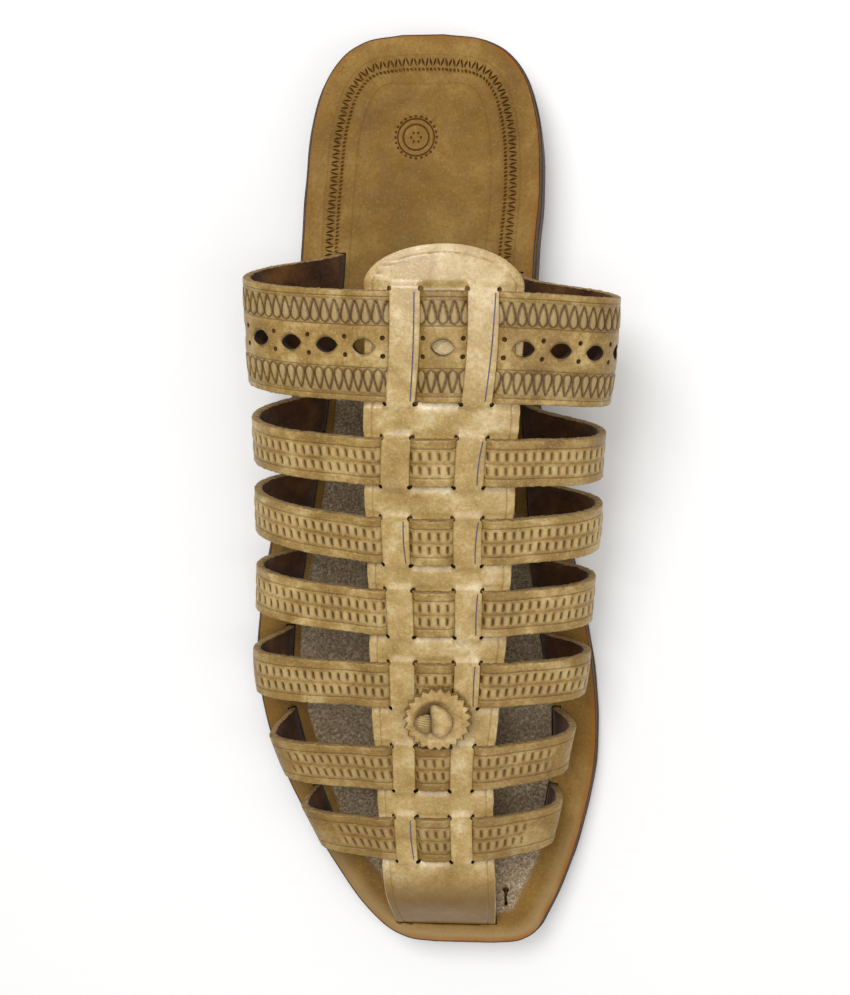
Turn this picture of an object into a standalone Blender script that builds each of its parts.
"""A kolhapuri sandal for the right foot: a flat leather sole on a low stacked heel, and an upper of seven
cross straps woven through a long plate. Metres. The toe points to -Y, the big toe's side is +X, +Z is up, and
the origin is on the floor under the middle of the heel seat."""

import math
from collections import namedtuple

import bpy
import numpy as np

MM = 0.001

# The sole, seen from above.
SOLE_LENGTH = 284.5 * MM
BALL_WIDTH = 110 * MM
HEEL_SEAT = 36.4 * MM  # from the back of the sole to the middle of the heel seat

# The layers, from the floor up. Pieces that are glued together stand one glue line apart.
TOP_PIECE = 4.0 * MM
HEEL_LIFT = 4.1 * MM
OUTSOLE = 4.2 * MM
INSOLE = 3.2 * MM
SLIT_PAST = 2 * MM  # a cutter goes this far past both faces of the insole
GLUE_LINE = 0.3 * MM
TOE_SPRING = 5.0 * MM

# How far each layer's edge stands out past the insole's edge.
OUTSOLE_STEP = 0.9 * MM
HEEL_FLARE = 0.6 * MM
BREAST_ROOM = 2 * MM  # the last of a heel layer's stations lies at least this far behind its front face

# Shares of the sole's length from the back: the heel's front face, the arch and the flat tread.
HEEL_BREAST = 0.265
ARCH_END = 0.60
TREAD_END = 0.79

# The upper.
INSTEP = 46 * MM  # the highest arch above the insole
PLATE_WIDTH = 44.5 * MM
PLATE_WALL = 2.1 * MM
STRAP_WALL = 2.4 * MM
WIDE_STRAP = 31 * MM
NARROW_STRAP = 14 * MM
HEAD_DEPTH = 11.5 * MM  # the rounded end of the plate, behind the wide strap
HEAD_OVERHANG = 1.0 * MM  # plain plate between the wide strap and the rounded end
STRAP_RISE = 1.6 * MM  # a strap stands straight up this far out of its slit
SLIT_CLEARANCE = 0.3 * MM
BOND = 0.3 * MM  # how deep plate and strap sink into each other where they cross
PLATE_SHARE = 0.35  # of the offset between plate and strap, what the plate takes

# The plate's slits, as shares of half its width: the middle window, then a band, then the margin.
WINDOW_EDGE = 0.285
BAND_EDGE = 0.675
STRAP_RUN = 3.0 * MM  # a strap dives through a slit over this length
PLATE_RUN = 1.5 * MM
SHOULDER = 6.0 * MM  # a strap settles onto its arch this far outside the plate
WEAVE_NEAR = 0.4 * MM  # the plate is at its full lift or dip up to here, past a strap's edge
WEAVE_FAR = 2.9 * MM  # and back on its own line from here

# The almond-shaped holes along the middle of the wide strap.
ALMOND_LENGTH = 6.4 * MM
ALMOND_WIDTH = 4.4 * MM
ALMOND_PITCH = 11 * MM
ALMOND_COUNT = 5  # to each side of the middle one
ALMOND_CUT = 5 * MM  # the punch reaches this far above and below the strap's middle surface

# The rosette and its knot.
ROSETTE_WIDTH = 20.8 * MM
ROSETTE_WALL = 2.0 * MM
ROSETTE_PLACE = 0.35  # of the way from the fourth narrow strap to the fifth
ROSETTE_SHIFT = 1.0 * MM  # to the medial side of the plate's axis
ROSETTE_TEETH = 23
TOOTH_DEPTH = 1.1 * MM
ROSETTE_RECESS = 10.6 * MM
RECESS_DEPTH = 0.7 * MM
THONG_HOLE = 5.0 * MM
PINKED_EDGE = 0.4 * MM  # the rosette's rim is rounded over this width
KNOT_HEIGHT = 3.0 * MM
STEM_OVERLAP = 0.5 * MM  # the knot's stem reaches this far up into its two loops

LEAVING = (0.55, 0.84)  # the direction in which a strap leaves its slit: outwards and up

SOLE_STATIONS = 46
ARCH_STEPS = 40
SMALL_STEP = 0.5 * MM  # between neighbouring points when a direction is measured

# The sole's outline from the back to the toe: along is a share of the length, the others of the ball width.
Outline = namedtuple("Outline", "along lateral medial")
OUTLINE = (
    Outline(0.000, 0.060, 0.060),
    Outline(0.008, 0.170, 0.180),
    Outline(0.020, 0.221, 0.236),
    Outline(0.049, 0.277, 0.292),
    Outline(0.090, 0.312, 0.323),
    Outline(0.163, 0.335, 0.334),
    Outline(0.244, 0.350, 0.318),
    Outline(0.330, 0.366, 0.314),
    Outline(0.400, 0.384, 0.330),
    Outline(0.480, 0.420, 0.370),
    Outline(0.556, 0.460, 0.420),
    Outline(0.626, 0.491, 0.461),
    Outline(0.690, 0.499, 0.489),
    Outline(0.742, 0.481, 0.500),
    Outline(0.801, 0.434, 0.494),
    Outline(0.859, 0.361, 0.464),
    Outline(0.918, 0.266, 0.416),
    Outline(0.962, 0.180, 0.364),
    Outline(0.987, 0.106, 0.322),
    Outline(0.996, 0.054, 0.280),
    Outline(1.000, -0.030, 0.200),
)

# Sections of the upper, from behind the plate to the toe slot. along (of the plate's top line) is a share of
# the length, axis of the ball width, top of the instep, belly of the section's own height, plate of the
# plate's width, and weave (how far the slits lie off the axis) of half the plate there.
Section = namedtuple("Section", "strap along axis top belly plate weave lateral medial")

# Each side of a section: where the arch meets the insole and where it bulges most, as shares of the ball
# width from the middle of the heel, and how far behind the top line each of the two stands, as shares of the
# length.
Side = namedtuple("Side", "foot bulge foot_back bulge_back")

SECTIONS = (
    Section(
        "", 0.225, 0.085, 1.02, 0.50, 1.00, 0.00,
        Side(0.22, 0.455, 0.056, 0.026), Side(0.26, 0.530, 0.030, -0.004),
    ),
    Section(
        "wide", 0.346, 0.082, 1.00, 0.49, 1.00, 0.00,
        Side(0.24, 0.450, 0.055, 0.025), Side(0.27, 0.518, 0.032, 0.000),
    ),
    Section(
        "narrow", 0.458, 0.068, 0.95, 0.46, 0.98, -0.09,
        Side(0.286, 0.442, 0.055, 0.025), Side(0.29, 0.487, 0.038, 0.007),
    ),
    Section(
        "narrow", 0.539, 0.062, 0.86, 0.44, 0.96, -0.10,
        Side(0.326, 0.450, 0.049, 0.032), Side(0.303, 0.485, 0.040, 0.015),
    ),
    Section(
        "narrow", 0.615, 0.057, 0.74, 0.43, 0.93, -0.06,
        Side(0.366, 0.456, 0.034, 0.022), Side(0.318, 0.466, 0.028, 0.011),
    ),
    Section(
        "narrow", 0.693, 0.046, 0.60, 0.42, 0.89, -0.02,
        Side(0.400, 0.470, 0.022, 0.006), Side(0.350, 0.455, 0.020, 0.007),
    ),
    Section(
        "narrow", 0.786, 0.039, 0.46, 0.42, 0.81, -0.03,
        Side(0.378, 0.412, 0.024, 0.005), Side(0.380, 0.409, 0.029, 0.017),
    ),
    Section(
        "narrow", 0.867, 0.042, 0.34, 0.42, 0.79, -0.05,
        Side(0.294, 0.316, 0.019, 0.007), Side(0.358, 0.374, 0.023, 0.016),
    ),
    Section(
        "", 0.942, 0.052, 0.17, 0.40, 0.76, -0.05,
        Side(0.20, 0.21, 0.006, 0.002), Side(0.30, 0.31, 0.006, 0.004),
    ),
    Section(
        "", 0.972, 0.062, 0.00, 0.40, 0.70, -0.05,
        Side(0.15, 0.16, 0.000, 0.000), Side(0.26, 0.27, 0.000, 0.000),
    ),
)

GRAIN = "#a77c3e"
PLATE_TAN = "#c09a5c"
EDGE_BROWN = "#5a3515"
DARK_BROWN = "#33200f"


def linear(hex_colour):
    """The linear red, green, blue and alpha of a screen colour."""
    parts = [int(hex_colour[i : i + 2], 16) / 255 for i in (1, 3, 5)]
    return [p / 12.92 if p <= 0.04045 else ((p + 0.055) / 1.055) ** 2.4 for p in parts] + [1.0]


def leather(name, colour, roughness):
    material = bpy.data.materials.new(name)
    material.use_nodes = True
    shader = material.node_tree.nodes["Principled BSDF"]
    shader.inputs["Base Color"].default_value = linear(colour)
    shader.inputs["Roughness"].default_value = roughness
    return material


def mesh_object(name, points, faces, material=None):
    mesh = bpy.data.meshes.new(name)
    mesh.from_pydata([tuple(p) for p in points], [], faces)
    mesh.update()
    obj = bpy.data.objects.new(name, mesh)
    bpy.context.collection.objects.link(obj)
    if material:
        mesh.materials.append(material)
    return obj


def shell_parts(over, under):
    """Points and faces of the closed solid between two grids with the same rows and columns."""
    rows, columns = over.shape[:2]
    points = np.concatenate([over.reshape(-1, 3), under.reshape(-1, 3)])
    lower = rows * columns

    def at(row, column):
        return row * columns + column

    faces = []
    for i in range(rows - 1):
        for j in range(columns - 1):
            quad = (at(i, j), at(i, j + 1), at(i + 1, j + 1), at(i + 1, j))
            faces.append(quad)
            faces.append(tuple(lower + k for k in reversed(quad)))
    around = [at(i, 0) for i in range(rows)]
    around += [at(rows - 1, j) for j in range(1, columns)]
    around += [at(i, columns - 1) for i in range(rows - 2, -1, -1)]
    around += [at(0, j) for j in range(columns - 2, 0, -1)]
    for k, first in enumerate(around):
        second = around[(k + 1) % len(around)]
        faces.append((first, second, lower + second, lower + first))
    return points, faces


def facing_out(points, faces):
    """The faces, all turned round if the solid is inside out."""
    volume = 0.0
    for face in faces:
        for k in range(1, len(face) - 1):
            volume += np.dot(points[face[0]], np.cross(points[face[k]], points[face[k + 1]]))
    return faces if volume > 0 else [tuple(reversed(face)) for face in faces]


def shell(name, over, under, material=None):
    points, faces = shell_parts(over, under)
    return mesh_object(name, points, facing_out(points, faces), material)


def helper(obj):
    """A cutter, or a piece that a union takes in, which is no part itself."""
    obj.hide_render = True
    obj.display_type = "WIRE"
    return obj


def combine(obj, other, operation):
    modifier = obj.modifiers.new(other.name, "BOOLEAN")
    modifier.operation = operation
    modifier.solver = "EXACT"
    modifier.object = other


def knots_of(points):
    steps = np.linalg.norm(np.diff(points, axis=0), axis=1)
    return np.concatenate([[0.0], np.cumsum(steps)])


def smooth(knots, rows, where):
    """The values at where, on a curve with no corners through every row of a table."""
    slopes = np.gradient(rows, knots, axis=0)
    i = np.clip(np.searchsorted(knots, where, side="right") - 1, 0, len(knots) - 2)
    gap = np.asarray(knots[i + 1] - knots[i])[..., None]
    t = np.asarray(where - knots[i])[..., None] / gap
    start = rows[i] * (1 + 2 * t) + slopes[i] * gap * t
    end = rows[i + 1] * (3 - 2 * t) - slopes[i + 1] * gap * (1 - t)
    return start * (1 - t) ** 2 + end * t**2


def ease(x):
    x = np.clip(x, 0.0, 1.0)
    return x * x * (3 - 2 * x)


def along_of(y):
    return (HEEL_SEAT - y) / SOLE_LENGTH


def y_of(along):
    return HEEL_SEAT - along * SOLE_LENGTH


HEEL_HEIGHT = TOP_PIECE + 2 * HEEL_LIFT + 3 * GLUE_LINE


def outsole_bottom(y):
    """Height of the outsole's bottom: the heel seat, the arch, the flat tread and the toe spring."""
    along = along_of(y)
    arch = HEEL_HEIGHT * (1 - ease((along - HEEL_BREAST) / (ARCH_END - HEEL_BREAST)))
    spring = TOE_SPRING * (np.clip(along - TREAD_END, 0, None) / (1 - TREAD_END)) ** 2
    return arch + spring


def insole_bottom(y):
    return outsole_bottom(y) + OUTSOLE + GLUE_LINE


def insole_top(y):
    return insole_bottom(y) + INSOLE


def rim(step):
    """Two runs of points, lateral and medial, round an edge that lies outside the insole's by step."""
    rows = np.array(OUTLINE) * (SOLE_LENGTH, BALL_WIDTH, BALL_WIDTH)
    knots = knots_of(rows)
    along, lateral, medial = smooth(knots, rows, np.linspace(0, knots[-1], SOLE_STATIONS)).T
    left = np.stack([-lateral, HEEL_SEAT - along], axis=1)
    right = np.stack([medial, HEEL_SEAT - along], axis=1)
    loop = np.concatenate([left, right[::-1]])
    run = np.roll(loop, -1, axis=0) - np.roll(loop, 1, axis=0)
    out = np.stack([run[:, 1], -run[:, 0]], axis=1)
    out /= np.linalg.norm(out, axis=1)[:, None]
    # The outline in the table is the outsole's, so the insole's edge is one step inside it.
    loop += out * (step - OUTSOLE_STEP)
    return loop[:SOLE_STATIONS], loop[SOLE_STATIONS:][::-1]


def spread(left, right, height):
    """A grid across the sole at the given height, which is a number or a function of y."""
    rows = [left + (right - left) * share for share in (0.0, 0.5, 1.0)]
    flat = np.stack(rows, axis=1)
    levels = height(flat[..., 1]) if callable(height) else np.full(flat.shape[:2], height)
    return np.concatenate([flat, levels[..., None]], axis=2)


def sole_layer(name, bottom, top, step, material):
    left, right = rim(step)
    return shell(name, spread(left, right, top), spread(left, right, bottom), material)


def heel_layer(name, bottom, top, material):
    """A layer of the heel, from the back to the heel's front face, flaring towards the floor."""

    def grid(level):
        left, right = rim(OUTSOLE_STEP + HEEL_FLARE * (1 - level / HEEL_HEIGHT))
        front = y_of(HEEL_BREAST)
        count = int((left[:, 1] > front + BREAST_ROOM).sum())
        last = (left[count] - left[count - 1], right[count] - right[count - 1])
        ends = [
            run[count - 1] + move * (front - run[count - 1, 1]) / move[1]
            for run, move in zip((left, right), last)
        ]
        left = np.concatenate([left[:count], ends[:1]])
        right = np.concatenate([right[:count], ends[1:]])
        return spread(left, right, level)

    return shell(name, grid(top), grid(bottom), material)


SECTION_ROWS = np.array([row[1:7] + row.lateral + row.medial for row in SECTIONS])
TOP_LINE = [(row.along * SOLE_LENGTH, row.top * INSTEP + insole_top(y_of(row.along))) for row in SECTIONS]
STATIONS = knots_of(np.array(TOP_LINE))


def section_at(v):
    """The section at v, a distance along the plate's top line, also between two rows of the table."""
    values = smooth(STATIONS, SECTION_ROWS, v)
    return Section("", *values[:6], Side(*values[6:10]), Side(*values[10:]))


def arch(v):
    """The upper's middle surface at v along its top line: points from the lateral slit over the foot to
    the medial slit, and their distances from the top, negative on the lateral side."""
    row = section_at(v)
    axis = row.axis * BALL_WIDTH
    height = max(row.top * INSTEP, 0.01 * MM)
    belly = row.belly * height
    t = np.linspace(0, 1, ARCH_STEPS)
    turn = np.linspace(0, math.pi / 2, ARCH_STEPS)[1:]
    sides = []
    for side, way in ((row.lateral, -1), (row.medial, 1)):
        foot = side.foot * BALL_WIDTH - way * axis
        bulge = side.bulge * BALL_WIDTH - way * axis
        # Below the bulge the strap leaves its slit steeply outwards, and above it closes over the foot.
        pull = math.hypot(bulge - foot, belly)
        start, end = np.array(LEAVING) * pull, 1.1 * pull
        across = foot * (1 + 2 * t) * (1 - t) ** 2 + bulge * (3 - 2 * t) * t**2 + start[0] * t * (1 - t) ** 2
        up = belly * (3 - 2 * t) * t**2 + start[1] * t * (1 - t) ** 2 - end * (1 - t) * t**2
        across = np.concatenate([across, bulge * np.cos(turn)])
        up = np.concatenate([up, belly + (height - belly) * np.sin(turn)])
        rise = up / height
        back = side.foot_back * (1 - rise) * (row.belly - rise) / row.belly
        back += side.bulge_back * rise * (1 - rise) / (row.belly * (1 - row.belly))
        y = y_of(row.along - back)
        low = insole_top(y_of(row.along - side.foot_back)) + STRAP_RISE
        high = insole_top(y_of(row.along)) + STRAP_RISE
        sides.append(np.stack([axis + way * across, y, low + (high - low) * rise + up], axis=1))
    points = np.concatenate([sides[0], sides[1][-2::-1]])
    lengths = knots_of(points)
    return points, lengths - lengths[len(sides[0]) - 1]


def place(v, share):
    """A point of the upper's middle surface: share is 0 on top, -1 and 1 at the feet of the arch, and past
    them it goes straight down the slit."""
    points, lengths = arch(v)
    reach = lengths[-1] if share > 0 else -lengths[0]
    bound = min(max(share, -1.0), 1.0)
    point = np.array([np.interp(bound * reach, lengths, points[:, k]) for k in range(3)])
    point[2] -= (abs(share) - abs(bound)) * (STRAP_RISE + INSOLE)
    return point


def half_plate(v):
    """Half the plate's width at v, measured along the arch, and where the middle of its slits lies."""
    row = section_at(v)
    half = row.plate * PLATE_WIDTH / 2
    return half, row.weave * half


GAP_OF_LAYERS = (PLATE_WALL + STRAP_WALL) / 2 - BOND
PLATE_LIFT = GAP_OF_LAYERS * PLATE_SHARE
STRAP_LIFT = GAP_OF_LAYERS - PLATE_LIFT

STRAP_ROWS = [i for i, row in enumerate(SECTIONS) if row.strap]


def strap_width(i):
    return WIDE_STRAP if SECTIONS[i].strap == "wide" else NARROW_STRAP


def strap_stations(i):
    """Places along strap i from the lateral slit to the medial one: pairs of share and lift off the arch."""
    v = STATIONS[i]
    lengths = arch(v)[1]
    half, middle = half_plate(v)
    run = STRAP_RUN / 2
    found = []
    for way, reach in ((-1, -lengths[0]), (1, lengths[-1])):
        shift = way * middle
        woven = [
            (half + SHOULDER, 0.0),
            (half, 0.85),
            (BAND_EDGE * half + shift + run, 1.0),
            (BAND_EDGE * half + shift, 0.0),
            (BAND_EDGE * half + shift - run, -1.0),
            (WINDOW_EDGE * half + shift + run, -1.0),
            (WINDOW_EDGE * half + shift, 0.0),
            (WINDOW_EDGE * half + shift - run, 1.0),
        ]
        side = [(2.0, 0.0)] + [(a / reach, 0.0) for a in np.linspace(reach, half + SHOULDER, 13)[:-1]]
        side += [(a / reach, lift * STRAP_LIFT) for a, lift in woven]
        found.append([(way * share, lift) for share, lift in side])
    return found[0] + found[1][::-1]


def unit(vectors):
    return vectors / np.linalg.norm(vectors, axis=-1, keepdims=True)


def strap_grid(i):
    """Points of the arch's middle surface that strap i covers, and its outward normals along the strap."""
    v = STATIONS[i]
    columns = 5 if SECTIONS[i].strap == "wide" else 2
    stations = strap_stations(i)
    middle = np.array([place(v, share) for share, _ in stations])
    ahead = np.array([place(v + SMALL_STEP, share) for share, _ in stations])
    pace = np.linalg.norm(ahead - middle, axis=1) / SMALL_STEP
    grid = np.empty((len(stations), columns, 3))
    for k, (share, _) in enumerate(stations):
        for j, across in enumerate(np.linspace(-0.5, 0.5, columns)):
            grid[k, j] = place(v + across * strap_width(i) / pace[k], share)
    back = unit(grid[:, 0] - grid[:, -1])
    run = np.gradient(middle, knots_of(middle), axis=0)
    return grid, unit(np.cross(unit(run), back))


def strap(i):
    """The outer and inner faces of strap i as two grids."""
    grid, normals = strap_grid(i)
    lifts = np.array([lift for _, lift in strap_stations(i)])
    over = grid + (normals * (lifts + STRAP_WALL / 2)[:, None])[:, None]
    under = grid + (normals * (lifts - STRAP_WALL / 2)[:, None])[:, None]
    return over, under


def weave(v, a):
    """1 where the plate's band lies over a strap, -1 where the strap lies over it, 0 between straps."""
    half, middle = half_plate(v)
    off = abs(a - middle)
    zone = 0.0
    for i in STRAP_ROWS:
        past = abs(v - STATIONS[i]) - strap_width(i) / 2 - WEAVE_NEAR
        zone = max(zone, 1 - ease(past / (WEAVE_FAR - WEAVE_NEAR)))
    from_window = (off - WINDOW_EDGE * half) / PLATE_RUN + 0.5
    from_margin = (BAND_EDGE * half - off) / PLATE_RUN + 0.5
    band = min(ease(from_window), ease(from_margin))
    return zone * (2 * band - 1)


def plate_stations():
    """Places along the plate from its head to the toe slot: pairs of v and the share of its full width."""
    wide = STRAP_ROWS[0]
    rear = STATIONS[wide] - strap_width(wide) / 2 - HEAD_OVERHANG
    turns = np.radians([9, 24, 42, 64, 90])
    found = [(rear - HEAD_DEPTH * math.cos(t), math.sin(t)) for t in turns]
    for i in STRAP_ROWS:
        half = strap_width(i) / 2
        stops = [-half - WEAVE_FAR, -half - WEAVE_NEAR, half + WEAVE_NEAR, half + WEAVE_FAR]
        if i == wide:
            stops[0:1] = []
            stops[1:1] = [-half / 3, half / 3]
        found += [(STATIONS[i] + stop, 1.0) for stop in stops]
    last = found[-1][0]
    found += [(v, 1.0) for v in np.linspace(last, STATIONS[-1], 6)[1:]]
    return found


def plate():
    """The plate as two grids, over and under, with its end going down into the toe slot."""
    run = PLATE_RUN / 2
    rows, lifts = [], []
    for v, share in plate_stations():
        lengths = arch(v)[1]
        half, middle = half_plate(v)
        band, window = BAND_EDGE * half, WINDOW_EDGE * half
        stops = [band + run, band - run, window + run, window - run]
        cuts = [middle - stop for stop in stops] + [middle + stop for stop in stops[::-1]]
        across = np.array([-half] + cuts + [half]) * share
        rows.append([place(v, a / (lengths[-1] if a > 0 else -lengths[0])) for a in across])
        lifts.append([weave(v, a) * PLATE_LIFT for a in across])
    grid = np.array(rows)
    down = grid[-1] - (0, 0, STRAP_RISE + INSOLE)
    grid = np.concatenate([grid, down[None]])
    lifts = np.array(lifts + [lifts[-1]])
    along = np.gradient(grid, axis=0)
    across = np.gradient(grid, axis=1)
    normals = unit(np.cross(across, -along))
    over = grid + normals * (lifts + PLATE_WALL / 2)[..., None]
    under = grid + normals * (lifts - PLATE_WALL / 2)[..., None]
    return over, under


def joined(name, pieces):
    """One helper object from several separate solids."""
    points, faces, count = [], [], 0
    for some_points, some_faces in pieces:
        points.extend(some_points)
        faces.extend(tuple(k + count for k in face) for face in some_faces)
        count += len(some_points)
    return helper(mesh_object(name, points, faces))


def slit(foot, out, wall):
    """A hole straight through the insole for the end of a strap or of the plate, whose foot is a run of
    points."""
    lengthen = unit(foot[-1] - foot[0]) * SLIT_CLEARANCE
    run = np.concatenate([[foot[0] - lengthen], foot[1:-1], [foot[-1] + lengthen]])
    out = unit(out * (1, 1, 0)) * (wall / 2 + SLIT_CLEARANCE)
    low = insole_bottom(run[:, 1]) - SLIT_PAST
    high = insole_top(run[:, 1]) + SLIT_PAST
    sides = []
    for side in (run + out, run - out):
        sides.append(np.stack([np.column_stack([side[:, :2], level]) for level in (low, high)]))
    points, faces = shell_parts(*sides)
    return points, facing_out(points, faces)


def slits():
    pieces = []
    for i in STRAP_ROWS:
        grid, normals = strap_grid(i)
        for end in (0, -1):
            pieces.append(slit(grid[end], normals[end], STRAP_WALL))
    over, under = plate()
    foot = (over[-1] + under[-1]) / 2
    pieces.append(slit(foot[:: len(foot) - 1], over[-1, 0] - under[-1, 0], PLATE_WALL))
    return joined("slit_cutter", pieces)


def almonds():
    """Pointed holes along the middle of the wide strap, left out where a band of the plate covers them."""
    i = STRAP_ROWS[0]
    v = STATIONS[i]
    lengths = arch(v)[1]
    half = half_plate(v)[0]
    pieces = []
    for a in np.arange(-ALMOND_COUNT, ALMOND_COUNT + 1) * ALMOND_PITCH:
        if WINDOW_EDGE * half - ALMOND_LENGTH / 2 < abs(a) < BAND_EDGE * half + ALMOND_LENGTH / 2:
            continue
        reach = lengths[-1] if a > 0 else -lengths[0]
        centre = place(v, a / reach)
        side = place(v, (a + SMALL_STEP) / reach) - place(v, (a - SMALL_STEP) / reach)
        back = place(v - SMALL_STEP, a / reach) - place(v + SMALL_STEP, a / reach)
        side, back = unit(side), unit(back)
        normal = unit(np.cross(side, back))
        ring = []
        for turn in np.linspace(0, 2 * math.pi, 9)[:-1]:
            x = math.cos(turn) * ALMOND_LENGTH / 2
            y = math.sin(turn) * abs(math.sin(turn)) ** 0.3 * ALMOND_WIDTH / 2
            ring.append(centre + side * x + back * y)
        ring = np.array(ring)
        points = np.concatenate([ring + normal * ALMOND_CUT, ring - normal * ALMOND_CUT])
        count = len(ring)
        faces = [tuple(range(count)), tuple(reversed(range(count, 2 * count)))]
        faces += [(k, count + k, count + (k + 1) % count, (k + 1) % count) for k in range(count)]
        pieces.append((points, facing_out(points, faces)))
    return joined("almond_cutter", pieces)


def rosette_frame():
    """Centre, side, back and up directions of the rosette, which rests on the middle of the straps."""
    before, after = STRAP_ROWS[4], STRAP_ROWS[5]
    v = STATIONS[before] + (STATIONS[after] - STATIONS[before]) * ROSETTE_PLACE
    side = unit(place(v, 0.05) - place(v, -0.05))
    centre = place(v, 0.0) + side * ROSETTE_SHIFT
    reach = ROSETTE_WIDTH / 4
    back = unit(place(v - reach, 0.0) - place(v + reach, 0.0))
    return centre, side, back, unit(np.cross(side, back))


def rings_faces(rows, count):
    """Faces between closed rings of count points that follow each other."""
    faces = []
    for i in range(rows - 1):
        for j in range(count):
            k = (j + 1) % count
            faces.append((i * count + j, i * count + k, (i + 1) * count + k, (i + 1) * count + j))
    return faces


def make_rosette(material):
    """A pinked disc with a shallow recess and a hole for the thong."""
    centre, side, back, up = rosette_frame()
    rest = STRAP_LIFT + STRAP_WALL / 2 + GLUE_LINE
    top = rest + ROSETTE_WALL
    count = 2 * ROSETTE_TEETH
    turns = np.arange(count) * 2 * math.pi / count
    edge = ROSETTE_WIDTH / 2 - TOOTH_DEPTH * (np.arange(count) % 2)
    hole, recess = THONG_HOLE / 2, ROSETTE_RECESS / 2
    # The cross-section, all round it: the radius at every turn, and the height.
    profile = (
        (hole, rest),
        (edge, rest),
        (edge, top - PINKED_EDGE),
        (edge - PINKED_EDGE, top),
        (recess, top),
        (recess - PINKED_EDGE, top - RECESS_DEPTH),
        (hole, top - RECESS_DEPTH),
    )
    points = []
    for radius, height in profile:
        flat = np.outer(np.cos(turns) * radius, side) + np.outer(np.sin(turns) * radius, back)
        points.append(centre + flat + up * height)
    points = np.concatenate(points)
    faces = rings_faces(len(profile), count)
    last = (len(profile) - 1) * count
    faces += [(last + j, last + (j + 1) % count, (j + 1) % count, j) for j in range(count)]
    return mesh_object("rosette", points, facing_out(points, faces), material)


# Rings of a loop of the knot, from its foot to its crown: shares of its own width and height.
LOBE_RINGS = ((0.30, 0.0), (0.92, 0.0), (1.0, 0.3), (0.86, 0.7), (0.45, 0.96))
LOBE_CORNERS = 16


def lobe(centre, side, back, up, length, width, height, low):
    """A rounded cushion lying on the rosette: one loop of the knot."""
    points = []
    for share, level in LOBE_RINGS:
        for turn in np.arange(LOBE_CORNERS) * 2 * math.pi / LOBE_CORNERS:
            flat = side * math.cos(turn) * width + back * math.sin(turn) * length
            points.append(centre + flat * share + up * (low + level * height))
    faces = rings_faces(len(LOBE_RINGS), LOBE_CORNERS)
    faces.append(tuple(reversed(range(LOBE_CORNERS))))
    faces.append(tuple(range(len(points) - LOBE_CORNERS, len(points))))
    points = np.array(points)
    return points, facing_out(points, faces)


def make_knot(material):
    """Two loops of thong lying side by side, on a stem that goes down the rosette's hole to the plate."""
    centre, side, back, up = rosette_frame()
    rest = STRAP_LIFT + STRAP_WALL / 2 + GLUE_LINE
    low = rest + ROSETTE_WALL - RECESS_DEPTH + GLUE_LINE
    # The stem ends one glue line over the plate, whose wall is not lifted between two straps.
    foot = PLATE_WALL / 2 + GLUE_LINE
    stem = THONG_HOLE / 2 - GLUE_LINE
    points, faces = lobe(centre, side, back, up, stem, stem, low + STEM_OVERLAP - foot, foot)
    knot = mesh_object("rosette_knot", points, faces, material)
    room = ROSETTE_RECESS / 2 - PINKED_EDGE - GLUE_LINE
    for name, shift, length, width in (("left_lobe", -0.42, 0.86, 0.52), ("right_lobe", 0.36, 0.92, 0.60)):
        middle = centre + side * shift * room
        points, faces = lobe(middle, side, back, up, length * room, width * room, KNOT_HEIGHT, low)
        combine(knot, helper(mesh_object(name, points, faces)), "UNION")


def make_soles(tan, brown, dark):
    insole = sole_layer("insole", insole_bottom, insole_top, 0.0, tan)
    combine(insole, slits(), "DIFFERENCE")
    sole_layer("outsole", outsole_bottom, lambda y: outsole_bottom(y) + OUTSOLE, OUTSOLE_STEP, brown)
    level = 0.0
    stack = (("heel_top_piece", TOP_PIECE), ("heel_lift_2", HEEL_LIFT), ("heel_lift_1", HEEL_LIFT))
    for name, thickness in stack:
        heel_layer(name, level, level + thickness, dark)
        level += thickness + GLUE_LINE


def make_upper(material):
    upper = shell("upper", *plate(), material)
    for number, i in enumerate(STRAP_ROWS):
        piece = helper(shell(f"strap_{number}", *strap(i)))
        combine(upper, piece, "UNION")
    combine(upper, almonds(), "DIFFERENCE")


def main():
    for obj in list(bpy.data.objects):
        bpy.data.objects.remove(obj)
    tan = leather("insole_leather", GRAIN, 0.5)
    plain = leather("upper_leather", PLATE_TAN, 0.45)
    brown = leather("outsole_leather", EDGE_BROWN, 0.6)
    dark = leather("heel_leather", DARK_BROWN, 0.6)
    pink = leather("rosette_leather", PLATE_TAN, 0.45)
    thong = leather("thong_leather", PLATE_TAN, 0.4)
    make_soles(tan, brown, dark)
    make_upper(plain)
    make_rosette(pink)
    make_knot(thong)


main()
